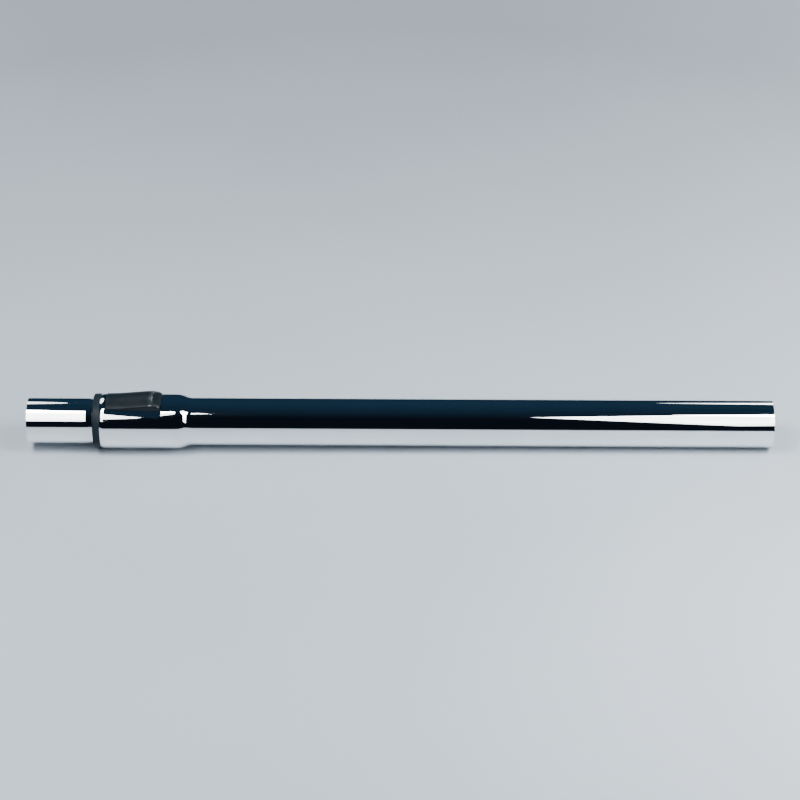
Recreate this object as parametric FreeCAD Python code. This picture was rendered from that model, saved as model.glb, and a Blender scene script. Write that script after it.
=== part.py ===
import FreeCAD, Part
import math
import os

from FreeCAD import Vector

# Telescopic vacuum wand: an inner tube slides out of an outer tube, and a see-saw key locks it.
# Lengths are in millimetres and angles in degrees.
# The origin is the middle of the handle socket's mouth. The wand runs along X to the nozzle end at -X,
# and the key is on top, at +Z. A station is a distance from the sleeve's mouth towards the handle.

# Push fitting and tube walls
FITTING_D = 35.0            # nozzle end, outside
SOCKET_CLEARANCE = 0.1      # handle socket over the fitting size, on the radius
SOCKET_DEPTH = 45.0
SOCKET_STEP = 0.1           # tube bore below the socket bore, on the radius
SOCKET_LEAD = 1.0           # length of the step behind the socket
OUTER_WALL = 0.7
INNER_WALL = 0.7
TELESCOPE_GAP = 0.8         # between the two tubes, on the radius
NOZZLE_LENGTH = 46.0        # straight part of the nozzle end
NOZZLE_TAPER = 3.2
NOZZLE_ROUND = 11.0

# Outer tube and its swaged sleeve
OUTER_LENGTH = 509.0
LATCH_ROOM = 4.3            # from the inner tube's outside to the sleeve's outside
SLEEVE_LENGTH = 60.4
SWAGE_ANGLE = 22.5
SWAGE_SHOULDER = 16.0
SWAGE_ROOT = 10.0
LIP_RADIUS = 7.0
LIP_TURN = 24.0
FLAT_LEAN = 28.0            # flats pressed in beside the key, from level
FLAT_DEPTH = 0.72           # under the sleeve's outside, at the front
FLAT_END_DEPTH = 1.85       # the same at the thumb end
FLAT_FRONT_CORNER = 1.5
FLAT_THUMB_CORNER = 4.0

# Guide sleeve, collar and wiper at the mouth
GUIDE_FIT = 0.15            # guide bore over the inner tube, on the radius
GUIDE_WALL = 1.0
GUIDE_LENGTH = 57.5
SEAT_GAP = 0.1              # between the guide's lands and the sleeve
SWAGE_GAP = 0.2             # between the guide and what is pressed into the sleeve
FRONT_LAND = 3.0            # station where the front land ends
REAR_LAND = 7.5
LAND_CHAMFER = 1.0
NECK_WALL = 1.55
NECK_LENGTH = 2.6
GUIDE_RIBS = 7
RIB_WIDTH = 2.0
RIB_FIRST = 55.0            # angle of the first rib from the key's side
COLLAR_LENGTH = 5.3
COLLAR_INSET = 0.2          # collar below the sleeve's outside
COLLAR_ROUND = 0.9
COLLAR_LIP = 1.1
COLLAR_FIT = 0.05
COLLAR_PLAY = 0.1           # between the collar and the sleeve's mouth
COLLAR_CLEARANCE = 0.4      # collar lip over the inner tube
BEAD_HEIGHT = 0.25
BEAD_WIDTH = 0.9
BEAD_STATION = -1.35
WIPER_FIT = 0.1

# Groove and lock notches pressed into the inner tube
GROOVE_DEPTH = 1.0
GROOVE_HALF = 4.0
GROOVE_RUNOUT = 7.0
TONGUE_START = 14.0          # guide's tongue that runs in the groove
TONGUE_END = 40.0
TONGUE_CLEARANCE = 0.3
NOTCH_PITCH = 31.0
NOTCH_COUNT = 13
NOTCH_DEPTH = 1.3           # below the groove's floor
NOTCH_FLOOR = 2.4
NOTCH_DRAFT = 0.6           # widening of each wall over the depth
NOTCH_HALF = 3.5
COLLAPSED_GAP = 0.7         # between the nozzle taper and the collar

# Tail bush on the inner tube's hidden end
BUSH_LENGTH = 18.0
BUSH_RUN = 0.1              # bush inside the outer tube, on the radius
BUSH_SEAT = 0.02
BUSH_FLANGE = 1.2
STUD_R = 2.5
STUD_FIT = 0.05
STUD_SETBACK = 9.0
END_PLAY = 0.5              # bush to guide at full reach

# Release key, stations and heights over the sleeve
KEY_START = 3.9
KEY_END = 46.6
KEY_HALF = 11.0
KEY_GAP = 0.4
KEY_FRONT_CORNER = 2.0
KEY_THUMB_CORNER = 2.6
KEY_BOW = 1.1               # thumb end's middle beyond its corners
KEY_FLUSH = 0.08
KEY_RAMP = 12.0
KEY_RAMP_ROUND = 90.0
KEY_CREST = 41.5
KEY_RISE = 2.5
KEY_CREST_ROUND = 11.5
KEY_EDGE = 1.1
KEY_WALL = 1.3
DISH_START = 38.2
DISH_DEPTH = 1.2
DISH_HALF = 8.4
DISH_CORNER = 4.0
DISH_SPREAD = 2.2           # widening of each side of the dish past the thumb end
DISH_END_DEPTH = 0.3
DISH_ROUND = 2.4            # at the foot of the dish's walls
KEY_CLEARANCE = 0.3         # key over the guide's floor, at rest and pressed

# See-saw latch
PIVOT_STATION = 29.0
PIVOT_LIFT = 1.45           # pin centre over the guide's floor
PIN_R = 0.75
PIN_SEAT = 0.01
PIN_RUN = 0.06
BOSS_WALL = 0.7
BOSS_THICK = 2.0
BOSS_GAP = 0.4
SNAP_MOUTH = 1.2
SADDLE_HALF = 2.7
SADDLE_WALL = 0.45
SADDLE_RELIEF = 0.35
KEY_PRESS = 4.0
TOOTH_STATION = 9.0
TOOTH_HALF = 3.0
TOOTH_THICK = 2.4
TOOTH_TIP = 1.6
TOOTH_BITE = 1.1            # tooth below the groove's floor
TOOTH_SEAT = 0.02
TOOTH_BLOCK = 1.2           # key's wall around the tooth
TOOTH_PLAY = 0.7            # slot in the guide around the tooth
SPRING_STATION = 34.6
SPRING_MEAN_R = 2.0
SPRING_WIRE = 0.4
SPRING_TURNS = 4
SPRING_STEPS = 16           # straight runs in a turn
SPRING_STUB = 0.75          # height of the spigot that centres the spring
SPRING_FIT = 0.15

TINY = 1e-6
X_AXIS = Vector(1, 0, 0)
Y_AXIS = Vector(0, 1, 0)
Z_AXIS = Vector(0, 0, 1)

# Radii that follow from the fitting
nozzle_r = FITTING_D / 2
socket_r = nozzle_r + SOCKET_CLEARANCE
outer_bore_r = socket_r - SOCKET_STEP
outer_r = outer_bore_r + OUTER_WALL
inner_r = outer_bore_r - TELESCOPE_GAP
inner_bore_r = inner_r - INNER_WALL
sleeve_r = inner_r + LATCH_ROOM
sleeve_bore_r = sleeve_r - OUTER_WALL
guide_bore_r = inner_r + GUIDE_FIT
floor_r = guide_bore_r + GUIDE_WALL
land_r = sleeve_bore_r - SEAT_GAP
neck_r = guide_bore_r + NECK_WALL
groove_z = inner_r - GROOVE_DEPTH
notch_z = groove_z - NOTCH_DEPTH

# Stations and travel
travel = NOTCH_PITCH * (NOTCH_COUNT - 1)
taper_end_station = -COLLAR_LENGTH - COLLAPSED_GAP
nozzle_station = taper_end_station - NOZZLE_TAPER - NOZZLE_LENGTH
bush_front_station = GUIDE_LENGTH + travel + END_PLAY
inner_end_station = bush_front_station + BUSH_LENGTH - BUSH_FLANGE
pivot_z = floor_r + PIVOT_LIFT
pin_half = SADDLE_HALF + BOSS_GAP + BOSS_THICK


def at(station):
    """X of a station, counted from the sleeve's mouth towards the handle."""
    return station - OUTER_LENGTH


def profile_point(station, radius):
    """A point of a turned profile."""
    return Vector(at(station), 0, radius)


def rounded_wire(points, radii):
    """Closed wire through the points, with a tangent arc of its radius at each one. Radius 0 is sharp."""
    stops = []
    for i, corner in enumerate(points):
        if radii[i] <= 0:
            stops.append((corner, None, corner))
            continue
        back = (points[i - 1] - corner).normalize()
        ahead = (points[(i + 1) % len(points)] - corner).normalize()
        half = back.getAngle(ahead) / 2
        reach = radii[i] / math.tan(half)
        inward = (back + ahead).normalize()
        middle = corner + inward * (radii[i] / math.sin(half) - radii[i])
        stops.append((corner + back * reach, middle, corner + ahead * reach))
    edges = []
    for i, (start, middle, end) in enumerate(stops):
        if middle is not None:
            edges.append(Part.Arc(start, middle, end).toShape())
        following = stops[(i + 1) % len(stops)][0]
        if (following - end).Length > TINY:
            edges.append(Part.LineSegment(end, following).toShape())
    return Part.Wire(edges)


def turned(points, radii=None):
    """Solid turned about the wand's axis from a closed profile, with its seam underneath."""
    face = Part.Face(rounded_wire(points, radii or [0] * len(points)))
    face.rotate(Vector(), X_AXIS, 180)
    return face.revolve(Vector(), X_AXIS, 360)


def plan_prism(x0, x1, half, corner0, corner1, z0, z1):
    """Upright prism over a rectangle in plan, with its own corner radius at each end."""
    points = [Vector(x0, -half, z0), Vector(x1, -half, z0), Vector(x1, half, z0), Vector(x0, half, z0)]
    wire = rounded_wire(points, [corner0, corner1, corner1, corner0])
    return Part.Face(wire).extrude(Z_AXIS * (z1 - z0))


def cross_prism(points, half):
    """Prism across the wand, from a profile in the XZ plane, between -half and half in Y."""
    face = Part.Face(Part.makePolygon(points + points[:1]))
    face.translate(Y_AXIS * -half)
    return face.extrude(Y_AXIS * (2 * half))


def cross_pin(x, z, radius, half):
    """Cylinder across the wand."""
    return Part.makeCylinder(radius, 2 * half, Vector(x, -half, z), Y_AXIS)


def lip_points(radius):
    """Corner and end of the rolled lip at one depth of its wall, on arcs about one centre."""
    turn = math.radians(LIP_TURN)
    centre_station = LIP_RADIUS * math.sin(turn)
    centre_r = sleeve_r - LIP_RADIUS
    corner = profile_point(centre_station - radius * math.tan(turn / 2), centre_r + radius)
    end = profile_point(centre_station - radius * math.sin(turn), centre_r + radius * math.cos(turn))
    return corner, end


def swage_points(depth):
    """Shoulder and root corners of the swage, at a depth under its outside."""
    slope = math.radians(SWAGE_ANGLE)
    inset = depth * math.tan(slope / 2)
    root_station = SLEEVE_LENGTH + (sleeve_r - outer_r) / math.tan(slope)
    shoulder = profile_point(SLEEVE_LENGTH - inset, sleeve_r - depth)
    root = profile_point(root_station - inset, outer_r - depth)
    return shoulder, root


def key_plan(spread, low):
    """Upright prism over the key's plan, spread outwards or inwards, with a bowed thumb end."""
    x0 = at(KEY_START) - spread
    x1 = at(KEY_END) + spread
    half = KEY_HALF + spread
    ends = {x0: KEY_FRONT_CORNER + spread, x1 - KEY_BOW: KEY_THUMB_CORNER + spread}
    corners = [
        Vector(x1 - KEY_BOW, half, low), Vector(x0, half, low),
        Vector(x0, -half, low), Vector(x1 - KEY_BOW, -half, low),
    ]
    outline = [Part.LineSegment(a, b).toShape() for a, b in zip(corners, corners[1:])]
    outline.append(Part.Arc(corners[3], Vector(x1, 0, low), corners[0]).toShape())
    prism = Part.Face(Part.Wire(outline)).extrude(Z_AXIS * (sleeve_r * 2 - low))
    for x, radius in ends.items():
        prism = prism.makeFillet(radius, upright_edges(prism, x))
    return prism


def upright_edges(prism, x):
    """Edges of an upright prism that run along Z at one X."""
    edges = []
    for edge in prism.Edges:
        a, b = edge.Vertexes[0].Point, edge.Vertexes[-1].Point
        if abs(a.z - b.z) > TINY and abs(a.x - x) < TINY and abs(b.x - x) < TINY:
            edges.append(edge)
    return edges


def key_window():
    """Room for the key through the sleeve, with its gap all round."""
    return key_plan(KEY_GAP, sleeve_r / 2)


def side_flats(spread):
    """What the two flats beside the key press in, or their inner side when spread by the wall."""
    x0 = at(KEY_START - KEY_GAP) - spread
    x1 = at(KEY_END) + spread
    high = sleeve_r * 2
    half = math.sqrt(sleeve_r ** 2 - (sleeve_r - FLAT_END_DEPTH) ** 2) + spread
    plan = plan_prism(x0, x1, half, FLAT_FRONT_CORNER + spread, FLAT_THUMB_CORNER + spread, 0, high)
    room = cross_prism(
        [
            Vector(x0, 0, sleeve_r - FLAT_DEPTH - spread), Vector(x1, 0, sleeve_r - FLAT_END_DEPTH - spread),
            Vector(x1, 0, high), Vector(x0, 0, high),
        ],
        half,
    )
    flats = []
    for lean in (FLAT_LEAN, -FLAT_LEAN):
        flat = plan.common(room)
        flat.rotate(Vector(), X_AXIS, lean)
        flats.append(flat)
    return flats


def outer_tube():
    """Plain tube with a handle socket, swaged up into the sleeve, which has a lip and a key window with flats."""
    shoulder, root = swage_points(0)
    bore_shoulder, bore_root = swage_points(OUTER_WALL)
    lip_bore = LIP_RADIUS - OUTER_WALL
    lip_corner, lip_end = lip_points(LIP_RADIUS)
    bore_corner, bore_end = lip_points(lip_bore)
    shape = turned(
        [
            profile_point(OUTER_LENGTH, outer_r),
            root,
            shoulder,
            lip_corner,
            lip_end,
            bore_end,
            bore_corner,
            bore_shoulder,
            bore_root,
            Vector(-SOCKET_DEPTH - SOCKET_LEAD, 0, outer_bore_r),
            Vector(-SOCKET_DEPTH, 0, socket_r),
            Vector(0, 0, socket_r),
        ],
        [
            0, SWAGE_ROOT, SWAGE_SHOULDER, LIP_RADIUS, 0, 0, lip_bore,
            SWAGE_SHOULDER - OUTER_WALL, SWAGE_ROOT + OUTER_WALL, 0, 0, 0,
        ],
    )
    middle = Part.makeCylinder(sleeve_r - OUTER_WALL / 2, OUTER_LENGTH, profile_point(0, 0), X_AXIS)
    walls = [flat.common(middle) for flat in side_flats(OUTER_WALL)]
    return shape.fuse(walls).cut(side_flats(0)).cut(key_window()).removeSplitter()


def groove_form(spread):
    """The pressed groove with its row of notches, or its inner side when spread by the wall."""
    start = at(TOOTH_STATION - GROOVE_RUNOUT)
    end = at(TONGUE_END + travel + GROOVE_HALF)
    half = GROOVE_HALF + spread
    form = plan_prism(start - spread, end + spread, half, half, half, groove_z - spread, inner_r * 2)
    wide = NOTCH_FLOOR / 2 + NOTCH_DRAFT + spread
    narrow = NOTCH_FLOOR / 2 + spread
    notches = []
    for number in range(NOTCH_COUNT):
        x = at(TOOTH_STATION) + number * NOTCH_PITCH
        notches.append(cross_prism(
            [
                Vector(x - wide, 0, groove_z),
                Vector(x - narrow, 0, notch_z - spread),
                Vector(x + narrow, 0, notch_z - spread),
                Vector(x + wide, 0, groove_z),
            ],
            NOTCH_HALF + spread,
        ))
    return form.fuse(notches).removeSplitter()


def inner_tube():
    """Sliding tube: nozzle end swaged up to the fitting, pressed groove and notches, holes for the bush."""
    slope = math.atan((nozzle_r - inner_r) / NOZZLE_TAPER)
    inset = INNER_WALL * math.tan(slope / 2)
    shoulder = nozzle_station + NOZZLE_LENGTH

    def core(drop, shift, shoulder_round, root_round):
        return turned(
            [
                profile_point(nozzle_station, 0),
                profile_point(nozzle_station, nozzle_r - drop),
                profile_point(shoulder - shift, nozzle_r - drop),
                profile_point(taper_end_station - shift, inner_r - drop),
                profile_point(inner_end_station, inner_r - drop),
                profile_point(inner_end_station, 0),
            ],
            [0, 0, shoulder_round, root_round, 0, 0],
        )

    outside = core(0, 0, NOZZLE_ROUND, NOZZLE_ROUND - INNER_WALL)
    bore = core(INNER_WALL, inset, NOZZLE_ROUND - INNER_WALL, NOZZLE_ROUND)
    shape = outside.cut(groove_form(0)).cut(bore.cut(groove_form(INNER_WALL)))
    return shape.cut(cross_pin(at(inner_end_station - STUD_SETBACK), 0, STUD_R, inner_r * 2))


def tail_bush():
    """Plastic ring over the inner tube's end, with a flange behind it and two studs in the tube's holes."""
    seat_r = inner_r + BUSH_SEAT
    run_r = outer_bore_r - BUSH_RUN
    rear = inner_end_station + BUSH_FLANGE
    shape = turned([
        profile_point(bush_front_station, seat_r),
        profile_point(bush_front_station, run_r),
        profile_point(rear, run_r),
        profile_point(rear, inner_bore_r),
        profile_point(inner_end_station, inner_bore_r),
        profile_point(inner_end_station, seat_r),
    ])
    studs = cross_pin(at(inner_end_station - STUD_SETBACK), 0, STUD_R - STUD_FIT, run_r)
    ring = turned([
        profile_point(bush_front_station, inner_bore_r),
        profile_point(bush_front_station, run_r),
        profile_point(rear, run_r),
        profile_point(rear, inner_bore_r),
    ])
    return shape.fuse(studs.common(ring)).removeSplitter()


def bead(radius):
    """The snap bead between the neck and the collar: its foot, two edges of its crest and its other foot."""
    crest = BEAD_WIDTH / 2 - BEAD_HEIGHT
    return [
        profile_point(BEAD_STATION + BEAD_WIDTH / 2, radius),
        profile_point(BEAD_STATION + crest, radius + BEAD_HEIGHT),
        profile_point(BEAD_STATION - crest, radius + BEAD_HEIGHT),
        profile_point(BEAD_STATION - BEAD_WIDTH / 2, radius),
    ]


def saddle(half, cap_r, foot_z):
    """Upright lug with a round head about the pivot."""
    x = at(PIVOT_STATION)
    block = Part.makeBox(2 * cap_r, 2 * half, pivot_z - foot_z, Vector(x - cap_r, -half, foot_z))
    return block.fuse(cross_pin(x, pivot_z, cap_r, half))


def guide_room():
    """What the guide stays clear of: the swage behind it, the flats, and the key over its floor."""
    shoulder, root = swage_points(OUTER_WALL + SWAGE_GAP)
    start = shoulder - X_AXIS * (SWAGE_SHOULDER * math.tan(math.radians(SWAGE_ANGLE) / 2))
    swage = turned(
        [
            start, shoulder, root,
            profile_point(OUTER_LENGTH, root.z), profile_point(OUTER_LENGTH, sleeve_r),
            Vector(start.x, 0, sleeve_r),
        ],
        [0, SWAGE_SHOULDER - OUTER_WALL - SWAGE_GAP, 0, 0, 0, 0],
    )
    floor = Part.makeCylinder(floor_r, OUTER_LENGTH, profile_point(0, 0), X_AXIS)
    return [swage, key_window().cut(floor)] + side_flats(OUTER_WALL + SWAGE_GAP)


def guide_sleeve():
    """Moulded liner: thin bush with two lands, ribs between them, the pivot saddle and a tongue for the groove."""
    seat_round = LIP_RADIUS - OUTER_WALL - SEAT_GAP
    seat_corner, seat_end = lip_points(seat_round)
    neck = profile_point(-NECK_LENGTH, neck_r)
    rear_start = GUIDE_LENGTH - REAR_LAND
    shape = turned(
        [
            profile_point(-NECK_LENGTH, guide_bore_r),
            profile_point(GUIDE_LENGTH, guide_bore_r),
            profile_point(GUIDE_LENGTH, land_r - LAND_CHAMFER),
            profile_point(GUIDE_LENGTH - LAND_CHAMFER, land_r),
            profile_point(rear_start, land_r),
            profile_point(rear_start, floor_r),
            profile_point(FRONT_LAND, floor_r),
            profile_point(FRONT_LAND, land_r),
            seat_corner,
            seat_end,
            Vector(seat_end.x, 0, neck_r),
        ] + bead(neck_r) + [neck],
        [0] * 8 + [seat_round] + [0] * 7,
    )
    ribs = []
    spacing = (360 - 2 * RIB_FIRST) / (GUIDE_RIBS - 1)
    middle_r = (guide_bore_r + floor_r) / 2
    for number in range(GUIDE_RIBS):
        rib = Part.makeBox(
            rear_start - FRONT_LAND, RIB_WIDTH, land_r - middle_r - SEAT_GAP,
            Vector(at(FRONT_LAND), -RIB_WIDTH / 2, middle_r),
        )
        rib.rotate(Vector(), X_AXIS, RIB_FIRST + number * spacing)
        ribs.append(rib)
    half = GROOVE_HALF - TONGUE_CLEARANCE
    tongue = plan_prism(
        at(TONGUE_START), at(TONGUE_END), half, half, half, groove_z + TONGUE_CLEARANCE, middle_r,
    )
    lug = saddle(SADDLE_HALF, PIN_R + SADDLE_WALL, middle_r)
    stub = Part.makeCylinder(
        SPRING_MEAN_R - SPRING_WIRE / 2 - SPRING_FIT, floor_r + SPRING_STUB - middle_r,
        Vector(at(SPRING_STATION), 0, middle_r),
    )
    shape = shape.fuse(ribs).cut(guide_room()).fuse([tongue, lug, stub])
    slot_half = TOOTH_THICK / 2 + TOOTH_PLAY
    slot = plan_prism(
        at(TOOTH_STATION) - slot_half, at(TOOTH_STATION) + slot_half, TOOTH_HALF + TOOTH_PLAY,
        0, 0, 0, sleeve_r,
    )
    pin_hole = cross_pin(at(PIVOT_STATION), pivot_z, PIN_R + PIN_SEAT, SADDLE_HALF + BOSS_GAP)
    return shape.cut([slot, pin_hole]).removeSplitter()


def end_collar():
    """Ring that snaps over the guide's neck and traps the wiper."""
    collar_r = sleeve_r - COLLAR_INSET
    bore = neck_r + COLLAR_FIT
    lip_r = inner_r + COLLAR_CLEARANCE
    lip_station = -COLLAR_LENGTH + COLLAR_LIP
    points = [
        profile_point(-COLLAR_LENGTH, lip_r),
        profile_point(-COLLAR_LENGTH, collar_r),
        profile_point(-COLLAR_PLAY, collar_r),
        profile_point(-COLLAR_PLAY, bore),
    ] + bead(bore) + [profile_point(lip_station, bore), profile_point(lip_station, lip_r)]
    return turned(points, [0, COLLAR_ROUND] + [0] * (len(points) - 2))


def wiper_ring():
    """Felt ring between the guide's neck and the collar's lip."""
    front = -COLLAR_LENGTH + COLLAR_LIP
    return turned([
        profile_point(front, inner_r + WIPER_FIT),
        profile_point(front, neck_r),
        profile_point(-NECK_LENGTH, neck_r),
        profile_point(-NECK_LENGTH, inner_r + WIPER_FIT),
    ])


def key_crown():
    """Body of the key over the wand's axis, with its ramp, crest and thumb end in one turned outline."""
    x0 = at(KEY_START)
    x1 = at(KEY_END)
    points = [
        Vector(x0, 0, 0),
        Vector(x0, 0, sleeve_r + KEY_FLUSH),
        profile_point(KEY_RAMP, sleeve_r + KEY_FLUSH),
        profile_point(KEY_CREST, sleeve_r + KEY_RISE),
        Vector(x1, 0, sleeve_r),
        Vector(x1, 0, 0),
    ]
    crown = turned(points, [0, 0, KEY_RAMP_ROUND, KEY_CREST_ROUND, 0, 0])
    body = crown.common(key_plan(0, 0))
    return body.makeFillet(KEY_EDGE, rim_edges(body))


def rim_edges(body):
    """Edges round a body's turned faces, without those between two of them."""
    edges = []
    for face in body.Faces:
        if face.Surface.TypeId != "Part::GeomPlane" and face.Surface.Axis.cross(X_AXIS).Length < TINY:
            edges.extend(face.Edges)
    return [edge for edge in edges if sum(edge.isSame(other) for other in edges) == 1]


def thumb_dish():
    """What the thumb recess takes off the crown: open at the key's end, with rounded corners and foot."""
    x0 = at(DISH_START)
    x1 = at(KEY_END + DISH_CORNER)
    wide = DISH_HALF + DISH_SPREAD
    wire = rounded_wire(
        [
            Vector(x0, -DISH_HALF, 0), Vector(x1, -wide, 0),
            Vector(x1, wide, 0), Vector(x0, DISH_HALF, 0),
        ],
        [DISH_CORNER, 0, 0, DISH_CORNER],
    )
    plan = Part.Face(wire).extrude(Z_AXIS * (sleeve_r * 2))
    floor = turned([
        Vector(x0 - DISH_CORNER, 0, 0),
        Vector(x0 - DISH_CORNER, 0, dish_r(DISH_START)),
        Vector(x0, 0, dish_r(DISH_START)),
        Vector(at(KEY_END), 0, dish_r(KEY_END)),
        Vector(x1, 0, dish_r(KEY_END)),
        Vector(x1, 0, 0),
    ])
    recess = plan.cut(floor)
    return recess.makeFillet(DISH_ROUND, rim_edges(recess))


def dish_r(station):
    """Radius of the thumb recess's floor at a station."""
    front = sleeve_r + KEY_RISE - DISH_DEPTH
    end = sleeve_r - DISH_END_DEPTH
    share = (station - DISH_START) / (KEY_END - DISH_START)
    return front + (end - front) * share


def roof_profile():
    """Stations and radii of the key's inside, one wall under the ramp and under the thumb recess."""
    end = KEY_END - KEY_WALL
    ramp_end = DISH_START - 2 * KEY_WALL
    rise = (KEY_RISE - KEY_FLUSH) * (ramp_end - KEY_RAMP) / (KEY_CREST - KEY_RAMP)
    flush_r = sleeve_r + KEY_FLUSH - KEY_WALL
    return [
        (KEY_START + KEY_WALL, flush_r),
        (KEY_RAMP, flush_r),
        (ramp_end, flush_r + rise),
        (DISH_START - KEY_WALL / 2, dish_r(DISH_START) - KEY_WALL),
        (end, dish_r(end) - KEY_WALL),
    ]


def roof_r(station):
    """Radius of the key's inside at a station."""
    profile = roof_profile()
    for (s0, r0), (s1, r1) in zip(profile, profile[1:]):
        if station <= s1:
            return r0 + (r1 - r0) * (station - s0) / (s1 - s0)
    return profile[-1][1]


def key_hollow():
    """Inside of the key's shell."""
    profile = roof_profile()
    ring = [profile_point(station, radius) for station, radius in profile]
    roof = turned([profile_point(profile[0][0], 0)] + ring + [profile_point(profile[-1][0], 0)])
    return roof.common(key_plan(-KEY_WALL, 0))


def swept_floor():
    """Room that the key leaves over the guide's floor, at rest and pressed."""
    length = KEY_END - KEY_START
    room = Part.makeCylinder(
        floor_r + KEY_CLEARANCE, 3 * length, profile_point(KEY_START - length, 0), X_AXIS,
    )
    pressed = room.copy()
    pressed.rotate(Vector(at(PIVOT_STATION), 0, pivot_z), Y_AXIS, -KEY_PRESS)
    return [room, pressed]


def release_key():
    """See-saw key: crowned shell with a thumb dish, snap bosses on the pin and a socket for the tooth."""
    crown = key_crown()
    shell = crown.cut(key_hollow())
    boss_r = PIN_R + BOSS_WALL
    x = at(PIVOT_STATION)
    inner_y = SADDLE_HALF + BOSS_GAP
    webs = []
    for y in (inner_y, -inner_y - BOSS_THICK):
        web = Part.makeBox(2 * boss_r, BOSS_THICK, sleeve_r, Vector(x - boss_r, y, pivot_z))
        boss = Part.makeCylinder(boss_r, BOSS_THICK, Vector(x, y, pivot_z), Y_AXIS)
        webs.append(web.fuse(boss).common(crown))
    block_half = TOOTH_THICK / 2 + TOOTH_BLOCK
    block = plan_prism(
        at(TOOTH_STATION) - block_half, at(TOOTH_STATION) + block_half, TOOTH_HALF + TOOTH_BLOCK, 0, 0,
        0, sleeve_r * 2,
    ).common(crown)
    solid = shell.fuse([block]).cut(swept_floor()).fuse(webs)
    snap = Part.makeBox(
        SNAP_MOUTH, 2 * pin_half, 2 * boss_r, Vector(x - SNAP_MOUTH / 2, -pin_half, pivot_z - 2 * boss_r),
    )
    bore = cross_pin(x, pivot_z, PIN_R + PIN_RUN, pin_half)
    relief = cross_pin(x, pivot_z, PIN_R + SADDLE_WALL + SADDLE_RELIEF, inner_y)
    socket = tooth_form(TOOTH_SEAT)
    return solid.cut([thumb_dish(), snap, bore, relief, socket]).removeSplitter()


def tooth_form(spread):
    """The tooth with a drafted tip, or the room for it when spread."""
    x = at(TOOTH_STATION)
    top = sleeve_r + KEY_FLUSH - KEY_WALL + spread
    tip = groove_z - TOOTH_BITE
    thick = TOOTH_THICK / 2 + spread
    return cross_prism(
        [
            Vector(x - TOOTH_TIP / 2 - spread, 0, tip),
            Vector(x + TOOTH_TIP / 2 + spread, 0, tip),
            Vector(x + thick, 0, groove_z),
            Vector(x + thick, 0, top),
            Vector(x - thick, 0, top),
            Vector(x - thick, 0, groove_z),
        ],
        TOOTH_HALF + spread,
    )


def pivot_pin():
    """Plain pin through the saddle and both of the key's bosses."""
    return cross_pin(at(PIVOT_STATION), pivot_z, PIN_R, pin_half)


def return_spring():
    """Coil spring between the guide's floor and the key, a helix of straight runs with a six-sided wire."""
    wire_r = SPRING_WIRE / 2
    reach = SPRING_MEAN_R + wire_r
    low = floor_r + wire_r
    high = min(roof_r(SPRING_STATION - reach), roof_r(SPRING_STATION + reach)) - wire_r
    count = SPRING_TURNS * SPRING_STEPS
    centre = Vector(at(SPRING_STATION), 0, 0)
    path = []
    for step in range(count + 1):
        angle = 2 * math.pi * step / SPRING_STEPS
        height = low + (high - low) * step / count
        path.append(centre + Vector(SPRING_MEAN_R * math.cos(angle), SPRING_MEAN_R * math.sin(angle), height))
    section = []
    for corner in range(6):
        angle = math.pi * corner / 3
        section.append(path[0] + Vector(wire_r * math.cos(angle), 0, wire_r * math.sin(angle)))
    profile = Part.makePolygon(section + section[:1])
    shell = Part.BRepOffsetAPI.MakePipeShell(Part.makePolygon(path))
    shell.setFrenetMode(False)
    shell.setTransitionMode(1)
    shell.add(profile)
    shell.build()
    shell.makeSolid()
    return shell.shape()


def lock_tooth():
    """Steel tooth set in the key."""
    return tooth_form(0)


def main():
    os.makedirs("parts", exist_ok=True)
    pieces = [
        outer_tube, inner_tube, guide_sleeve, end_collar, wiper_ring,
        tail_bush, release_key, lock_tooth, pivot_pin, return_spring,
    ]
    for piece in pieces:
        shape = piece()
        shape.exportStep(f"parts/{piece.__name__}.step")
        print(piece.__name__, shape.isValid(), len(shape.Solids), round(shape.Volume, 2), len(shape.Faces))


main()
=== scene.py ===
import math

import bmesh
import bpy
from mathutils import Matrix, Vector


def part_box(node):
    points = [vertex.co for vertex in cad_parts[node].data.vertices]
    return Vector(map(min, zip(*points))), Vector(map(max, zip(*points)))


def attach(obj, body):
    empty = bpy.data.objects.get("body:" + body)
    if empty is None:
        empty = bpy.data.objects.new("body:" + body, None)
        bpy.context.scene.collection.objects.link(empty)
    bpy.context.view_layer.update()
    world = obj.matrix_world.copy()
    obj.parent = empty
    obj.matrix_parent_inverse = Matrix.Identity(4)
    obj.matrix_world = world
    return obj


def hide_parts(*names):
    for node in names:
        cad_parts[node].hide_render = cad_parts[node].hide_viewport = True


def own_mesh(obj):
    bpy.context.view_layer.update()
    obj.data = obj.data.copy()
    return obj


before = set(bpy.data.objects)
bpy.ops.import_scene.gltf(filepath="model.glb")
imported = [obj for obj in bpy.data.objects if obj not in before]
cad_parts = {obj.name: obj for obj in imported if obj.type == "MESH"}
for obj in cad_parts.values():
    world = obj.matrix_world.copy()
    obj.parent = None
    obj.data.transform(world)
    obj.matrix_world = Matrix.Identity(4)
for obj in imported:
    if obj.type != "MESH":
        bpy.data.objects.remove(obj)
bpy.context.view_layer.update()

# Looks of a telescopic vacuum wand: mirror chrome tubes, a black thumb key and end collar, in a plain studio.
# Lengths are in metres in the frame's axes: the wand runs along X, with its handle socket at X = 0, and the
# key is at +Z.

MM = 0.001

# Places that the frame gives
outer_low, outer_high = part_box("outer_tube")
MOUTH_X = outer_low.x                   # sleeve's mouth
SOCKET_X = outer_high.x                 # handle socket's mouth
SLEEVE_R = -outer_low.z

# Sizes of the outer tube that say how the wand lies on a floor
TUBE_R = 18.2 * MM
SLEEVE_LENGTH = 60.4 * MM
SWAGE_ANGLE = math.radians(22.5)
SWAGE_SHOULDER = 16 * MM                # radius that rounds the sleeve into the swage

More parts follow.
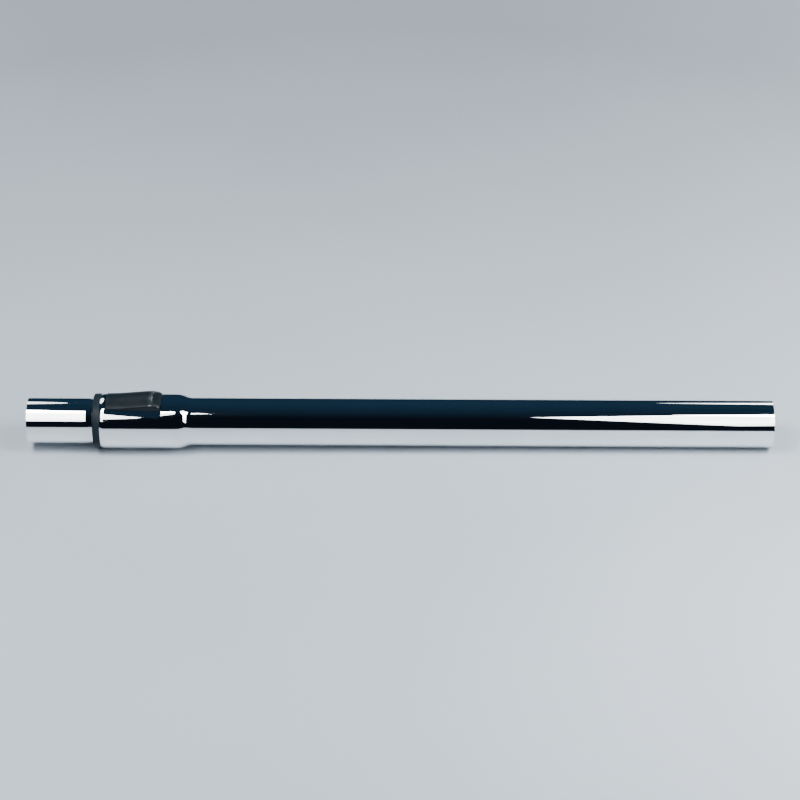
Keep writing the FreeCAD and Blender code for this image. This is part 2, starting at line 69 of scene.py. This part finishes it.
# Return spring under the key
SPRING_TURNS = 4
SPRING_WIRE_R = 0.2 * MM
SPRING_STEPS = 36                       # rings in a turn
SPRING_SIDES = 10                       # points round the wire
SPRING_SHARP = math.radians(50)         # edges sharper than this stay crisp

# Tones of the materials, each a dark and a light end
CHROME_TONES = (0.80, 0.825, 0.855), (0.87, 0.885, 0.905)
BLACK_TONES = (0.0030, 0.0056, 0.0080), (0.0048, 0.0084, 0.0114)
LINER_TONES = (0.028, 0.029, 0.031), (0.045, 0.047, 0.050)
FELT_TONES = (0.17, 0.17, 0.165), (0.40, 0.40, 0.39)
STEEL_TONES = (0.42, 0.42, 0.43), (0.62, 0.62, 0.63)
FLOOR_TONES = (0.315, 0.365, 0.415), (0.34, 0.39, 0.44)
ROOM_TONES = (0.004, 0.006, 0.011), (0.012, 0.034, 0.064)
TONE_STOPS = 0.3, 0.7                   # noise at the dark and the light end

# Wear of the black plastic
EDGE_POINTINESS = 0.50, 0.58            # from a flat face to a worn edge
EDGE_LIFT = 1.6                         # tone of a worn edge over the light end
DISH_X = MOUTH_X + 38.2 * MM            # where the key's thumb dish starts
THUMB_BLEND = 2 * MM
THUMB_FACING = 0.4, 0.7                 # upward part of the normal where the polish starts and is full
THUMB_ROUGHNESS = 0.35                  # share of the moulded roughness that is left
THUMB_COAT_ROUGHNESS = 0.30

# Camera, at the photograph's angle
CAMERA_ELEVATION = math.radians(33)
CAMERA_DISTANCE = 1.70
SENSOR_MM = 36
IMAGE_SIZE = 800
PIXELS_PER_METRE = 1314                 # at the wand's axis
AIM_X = -282.3 * MM
AIM_RISE = 16.9 * MM                    # picture's middle over the wand's axis

# Floor and room
FLOOR_SIZE = 24.0
FLOOR_CELLS = 8
FLOOR_FAR_START = 0.8                   # distance from the wand where the floor's own glow starts
FLOOR_FAR_END = 1.8
FLOOR_FAR_GLOW = 1.3
ROOM_LIGHT_SIDE = (0, 0.77, 0.64)

# Front lights, in planes that face the wand from one elevation: name, size, distance, place across and up in
# the plane, roll in degrees and watts a square metre
FRONT_ELEVATION = math.radians(55)
FRONT_LIGHTS = (
    ("right_box", (0.6, 0.42), 0.55, 0.499, 0.022, 31.0, 20),
    ("right_top", (0.6, 0.3), 0.55, 0.459, 0.129, 40.5, 40),
    ("right_far", (0.6, 0.85), 1.4, 0.885, 0.340, 36.0, 50),
    ("left_box", (0.6, 0.93), 1.2, -0.687, -0.085, 0.0, 19),
    ("left_mid", (0.3, 0.70), 1.2, -0.437, 0.033, -7.5, 19),
    ("left_top", (0.5, 0.5), 1.2, -0.581, 0.392, 33.0, 95),
)

# Lights behind the wand: name, shape, width, place across, elevation and roll in degrees and watts a square
# metre
BACK_REACH = 1.3
BACK_LIGHTS = (
    ("right_back", "RECTANGLE", 0.5, 0.702, 32, 45, 20),
    ("left_back", "DISK", 0.72, -0.79, 49, 0, 9),
)

# The wand lies on its sleeve's shoulder and on the handle end of the plain tube
SHOULDER_X = MOUTH_X + SLEEVE_LENGTH - SWAGE_SHOULDER * math.tan(SWAGE_ANGLE / 2)
floor_lean = math.atan2(SLEEVE_R - TUBE_R, SOCKET_X - SHOULDER_X)
level = Matrix.Translation((SOCKET_X, 0, -TUBE_R)) @ Matrix.Rotation(-floor_lean, 4, "Y")


def add_object(name, data):
    """New object of the scene."""
    obj = bpy.data.objects.new(name, data)
    bpy.context.scene.collection.objects.link(obj)
    return obj


# Return spring
def build_spring(material):
    """Coil of round wire in the place of the spring's solid, which the key flattens as it is pressed in the
    real wand; this coil rides with the outer tube and keeps its shape.
    """
    low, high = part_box("return_spring")
    middle = (low + high) / 2
    mean_r = high.y - SPRING_WIRE_R
    climb = high.z - low.z - 2 * SPRING_WIRE_R
    count = SPRING_TURNS * SPRING_STEPS
    bm = bmesh.new()
    rings = []
    for step in range(count + 1):
        turn = 2 * math.pi * step / SPRING_STEPS
        out = Vector((math.cos(turn), math.sin(turn), 0))
        height = low.z + SPRING_WIRE_R + climb * step / count
        centre = Vector((middle.x, middle.y, height)) + out * mean_r
        ring = []
        for side in range(SPRING_SIDES):
            angle = 2 * math.pi * side / SPRING_SIDES
            offset = out * math.cos(angle) + Vector((0, 0, math.sin(angle)))
            ring.append(bm.verts.new(centre + offset * SPRING_WIRE_R))
        rings.append(ring)
    for a, b in zip(rings, rings[1:]):
        for i in range(SPRING_SIDES):
            j = (i + 1) % SPRING_SIDES
            bm.faces.new((a[i], b[i], b[j], a[j]))
    bm.faces.new(rings[0])
    bm.faces.new(rings[-1])
    bmesh.ops.recalc_face_normals(bm, faces=bm.faces)
    mesh = bpy.data.meshes.new("return_spring_coil")
    bm.to_mesh(mesh)
    bm.free()
    mesh.shade_smooth()
    mesh.set_sharp_from_angle(angle=SPRING_SHARP)
    spring = add_object("return_spring_coil", mesh)
    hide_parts("return_spring")
    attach(spring, "outer")
    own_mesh(spring)
    spring.data.materials.append(material)


# Material helpers
def new_material(name):
    """Material with only a Principled shader. Returns the material, its node tree and the shader."""
    material = bpy.data.materials.new(name)
    material.use_nodes = True
    tree = material.node_tree
    tree.nodes.clear()
    output = tree.nodes.new("ShaderNodeOutputMaterial")
    shader = tree.nodes.new("ShaderNodeBsdfPrincipled")
    tree.links.new(shader.outputs["BSDF"], output.inputs["Surface"])
    return material, tree, shader


def object_noise(tree, scale, stretch=(1, 1, 1), detail=3.0, roughness=0.5):
    """Noise in the object's own coordinates."""
    coords = tree.nodes.new("ShaderNodeTexCoord")
    mapping = tree.nodes.new("ShaderNodeMapping")
    mapping.inputs["Scale"].default_value = stretch
    noise = tree.nodes.new("ShaderNodeTexNoise")
    noise.inputs["Scale"].default_value = scale
    noise.inputs["Detail"].default_value = detail
    noise.inputs["Roughness"].default_value = roughness
    tree.links.new(coords.outputs["Object"], mapping.inputs["Vector"])
    tree.links.new(mapping.outputs["Vector"], noise.inputs["Vector"])
    return noise.outputs["Fac"]


def ramp(tree, source, tones, stops=TONE_STOPS):
    """Colour that goes from one tone to another as a value goes from one stop to another."""
    node = tree.nodes.new("ShaderNodeValToRGB")
    for element, stop, tone in zip(node.color_ramp.elements, stops, tones):
        element.position = stop
        element.color = (*tone, 1)
    tree.links.new(source, node.inputs["Fac"])
    return node.outputs["Color"]


def mapped(tree, source, low=0.0, high=1.0, start=0.0, end=1.0):
    """Value that goes from low to high as its source goes from start to end."""
    node = tree.nodes.new("ShaderNodeMapRange")
    node.inputs["From Min"].default_value = start
    node.inputs["From Max"].default_value = end
    node.inputs["To Min"].default_value = low
    node.inputs["To Max"].default_value = high
    tree.links.new(source, node.inputs["Value"])
    return node.outputs["Result"]


def multiply(tree, first, second):
    """Product of two values."""
    node = tree.nodes.new("ShaderNodeMath")
    node.operation = "MULTIPLY"
    tree.links.new(first, node.inputs[0])
    tree.links.new(second, node.inputs[1])
    return node.outputs["Value"]


def add_bump(tree, shader, source, distance, strength):
    """Bump on the shader from a height of up to distance."""
    node = tree.nodes.new("ShaderNodeBump")
    node.inputs["Distance"].default_value = distance
    node.inputs["Strength"].default_value = strength
    tree.links.new(source, node.inputs["Height"])
    tree.links.new(node.outputs["Normal"], shader.inputs["Normal"])


# Materials of the wand
def chrome_material():
    """Mirror chrome plate with a faint haze, fine buffing round the tube and a trace of handling."""
    material, tree, shader = new_material("chrome_plate")
    shader.inputs["Metallic"].default_value = 1.0
    haze = object_noise(tree, scale=38, detail=4)
    tree.links.new(ramp(tree, haze, CHROME_TONES), shader.inputs["Base Color"])
    smear = object_noise(tree, scale=14, stretch=(1, 3, 3), detail=6, roughness=0.62)
    tree.links.new(mapped(tree, smear, low=0.008, high=0.036), shader.inputs["Roughness"])
    buffing = object_noise(tree, scale=60, stretch=(60, 1, 1), detail=2)
    add_bump(tree, shader, buffing, distance=0.002 * MM, strength=0.02)
    return material


def thumb_wear(tree, x):
    """How far a thumb has polished the surface: 0 before an X value, 1 past it where the surface faces up."""
    coords = tree.nodes.new("ShaderNodeTexCoord")
    place = tree.nodes.new("ShaderNodeSeparateXYZ")
    facing = tree.nodes.new("ShaderNodeSeparateXYZ")
    tree.links.new(coords.outputs["Object"], place.inputs["Vector"])
    tree.links.new(coords.outputs["Normal"], facing.inputs["Vector"])
    along = mapped(tree, place.outputs["X"], start=x - THUMB_BLEND, end=x)
    upward = mapped(tree, facing.outputs["Z"], start=THUMB_FACING[0], end=THUMB_FACING[1])
    return multiply(tree, along, upward)


def plastic_material(name, tones, rough_low, rough_high, gloss, grain, thumb_x=None):
    """Moulded plastic with an even spark-eroded grain, paler at edges and polished where a thumb rubs it."""
    material, tree, shader = new_material(name)
    mottle = object_noise(tree, scale=220, detail=5, roughness=0.6)
    geometry = tree.nodes.new("ShaderNodeNewGeometry")
    edges = mapped(
        tree, geometry.outputs["Pointiness"], start=EDGE_POINTINESS[0], end=EDGE_POINTINESS[1])
    mix = tree.nodes.new("ShaderNodeMix")
    mix.data_type = "RGBA"
    tree.links.new(edges, mix.inputs["Factor"])
    tree.links.new(ramp(tree, mottle, tones), mix.inputs["A"])
    mix.inputs["B"].default_value = (*[min(EDGE_LIFT * c, 1) for c in tones[1]], 1)
    tree.links.new(mix.outputs["Result"], shader.inputs["Base Color"])
    shader.inputs["Specular IOR Level"].default_value = gloss
    sheen = object_noise(tree, scale=90, detail=3)
    rough = mapped(tree, sheen, low=rough_low, high=rough_high)
    if thumb_x is not None:
        wear = thumb_wear(tree, thumb_x)
        rough = multiply(tree, rough, mapped(tree, wear, low=1.0, high=THUMB_ROUGHNESS))
        tree.links.new(wear, shader.inputs["Coat Weight"])
        shader.inputs["Coat Roughness"].default_value = THUMB_COAT_ROUGHNESS
    tree.links.new(rough, shader.inputs["Roughness"])
    texture = object_noise(tree, scale=3200, detail=2)
    add_bump(tree, shader, texture, distance=0.03 * MM, strength=grain)
    return material


def felt_material():
    """Grey pressed felt with tangled fibres."""
    material, tree, shader = new_material("grey_felt")
    fibre = object_noise(tree, scale=900, stretch=(1, 2.5, 0.7), detail=6, roughness=0.7)
    tree.links.new(ramp(tree, fibre, FELT_TONES), shader.inputs["Base Color"])
    tree.links.new(mapped(tree, fibre, low=0.85, high=1.0), shader.inputs["Roughness"])
    add_bump(tree, shader, fibre, distance=0.15 * MM, strength=0.8)
    return material


def steel_material():
    """Drawn spring and pin steel with fine lines along Y."""
    material, tree, shader = new_material("drawn_steel")
    shader.inputs["Metallic"].default_value = 1.0
    lines = object_noise(tree, scale=700, stretch=(6, 0.4, 6), detail=4)
    tree.links.new(ramp(tree, lines, STEEL_TONES), shader.inputs["Base Color"])
    tree.links.new(mapped(tree, lines, low=0.22, high=0.42), shader.inputs["Roughness"])
    add_bump(tree, shader, lines, distance=0.01 * MM, strength=0.4)
    return material


# Studio
def in_studio(x, y, z):
    """Frame point of a studio point: X along the floor from under the picture's middle, Z over the floor."""
    return level @ Vector((x + AIM_X - SOCKET_X, y, z))


def floor_material():
    """Pale, cool, softly glossy studio floor that keeps its tone far from the lights."""
    material, tree, shader = new_material("pale_floor")
    cloud = object_noise(tree, scale=3.0, detail=3)
    tone = ramp(tree, cloud, FLOOR_TONES)
    tree.links.new(tone, shader.inputs["Base Color"])
    tree.links.new(mapped(tree, cloud, low=0.42, high=0.50), shader.inputs["Roughness"])
    coords = tree.nodes.new("ShaderNodeTexCoord")
    away = tree.nodes.new("ShaderNodeVectorMath")
    away.operation = "DISTANCE"
    away.inputs[1].default_value = (AIM_X - SOCKET_X, 0, 0)
    tree.links.new(coords.outputs["Object"], away.inputs[0])
    glow = mapped(
        tree, away.outputs["Value"], high=FLOOR_FAR_GLOW, start=FLOOR_FAR_START, end=FLOOR_FAR_END)
    tree.links.new(tone, shader.inputs["Emission Color"])
    tree.links.new(glow, shader.inputs["Emission Strength"])
    return material


def build_floor():
    """One large floor with its top under the wand."""
    bm = bmesh.new()
    bmesh.ops.create_grid(bm, x_segments=FLOOR_CELLS, y_segments=FLOOR_CELLS, size=FLOOR_SIZE / 2)
    mesh = bpy.data.meshes.new("floor")
    bm.to_mesh(mesh)
    bm.free()
    mesh.materials.append(floor_material())
    floor = add_object("floor", mesh)
    floor.matrix_world = level


def aim(obj, place, target):
    """Puts an object in the studio, with its -Z towards a target and the floor's X level."""
    back = (place - target).normalized()
    right = (level.to_3x3() @ Vector((0, 0, 1))).cross(back).normalized()
    up = back.cross(right)
    obj.matrix_world = Matrix.Translation(place) @ Matrix((right, up, back)).transposed().to_4x4()


def build_camera():
    """Camera at the photograph's angle, with its picture level to the floor."""
    data = bpy.data.cameras.new("camera")
    data.sensor_width = SENSOR_MM
    data.lens = PIXELS_PER_METRE * CAMERA_DISTANCE * SENSOR_MM / IMAGE_SIZE
    camera = add_object("camera", data)
    height = -in_studio(0, 0, 0).z
    back = Vector((0, -math.cos(CAMERA_ELEVATION), math.sin(CAMERA_ELEVATION)))
    upward = Vector((0, math.sin(CAMERA_ELEVATION), math.cos(CAMERA_ELEVATION)))
    target = Vector((0, 0, height)) + upward * AIM_RISE
    aim(camera, in_studio(*(target + back * CAMERA_DISTANCE)), in_studio(*target))
    bpy.context.scene.camera = camera


def build_light(name, shape, size, place, back, roll, glow):
    """Area light in the studio that shines against a direction and is rolled about its beam."""
    data = bpy.data.lights.new(name, "AREA")
    data.shape = shape
    data.size, data.size_y = size
    data.energy = glow * size[0] * size[1]
    light = add_object(name, data)
    aim(light, in_studio(*place), in_studio(*(place - back)))
    light.matrix_world = light.matrix_world @ Matrix.Rotation(math.radians(roll), 4, "Z")


def build_room():
    """Dim room, a little lighter behind and above the wand."""
    world = bpy.data.worlds.new("room")
    world.use_nodes = True
    tree = world.node_tree
    coords = tree.nodes.new("ShaderNodeTexCoord")
    facing = tree.nodes.new("ShaderNodeVectorMath")
    facing.operation = "DOT_PRODUCT"
    facing.inputs[1].default_value = ROOM_LIGHT_SIDE
    tree.links.new(coords.outputs["Generated"], facing.inputs[0])
    tone = ramp(tree, facing.outputs["Value"], ROOM_TONES, stops=(0, 1))
    tree.links.new(tone, tree.nodes["Background"].inputs["Color"])
    bpy.context.scene.world = world


def build_studio():
    """Floor, camera, dim room, soft boxes in front and two panels behind."""
    build_floor()
    build_camera()
    build_room()
    ahead = Vector((0, -math.cos(FRONT_ELEVATION), math.sin(FRONT_ELEVATION)))
    upward = Vector((0, math.sin(FRONT_ELEVATION), math.cos(FRONT_ELEVATION)))
    for name, size, reach, across, up, roll, glow in FRONT_LIGHTS:
        place = ahead * reach + upward * up + Vector((across, 0, 0))
        build_light(name, "RECTANGLE", size, place, ahead, roll, glow)
    for name, shape, width, across, degrees, roll, glow in BACK_LIGHTS:
        behind = Vector((0, math.cos(math.radians(degrees)), math.sin(math.radians(degrees))))
        place = behind * BACK_REACH + Vector((across, 0, 0))
        build_light(name, shape, (width, width), place, behind, roll, glow)


def main():
    """Dresses the CAD nodes, replaces the spring and builds the studio."""
    chrome = chrome_material()
    collar = plastic_material(
        "collar_satin", BLACK_TONES, rough_low=0.36, rough_high=0.44, gloss=0.07, grain=0.2)
    key = plastic_material(
        "key_satin", BLACK_TONES, rough_low=0.36, rough_high=0.44, gloss=0.10, grain=0.2, thumb_x=DISH_X)
    liner = plastic_material(
        "dark_liner", LINER_TONES, rough_low=0.5, rough_high=0.62, gloss=0.10, grain=0.4)
    steel = steel_material()
    dressed = {
        "outer_tube": chrome, "inner_tube": chrome, "release_key": key, "end_collar": collar,
        "guide_sleeve": liner, "tail_bush": liner, "wiper_ring": felt_material(),
        "lock_tooth": steel, "pivot_pin": steel,
    }
    for node, material in dressed.items():
        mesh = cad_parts[node].data
        mesh.materials.clear()
        mesh.materials.append(material)
    build_spring(steel)
    build_studio()


main()
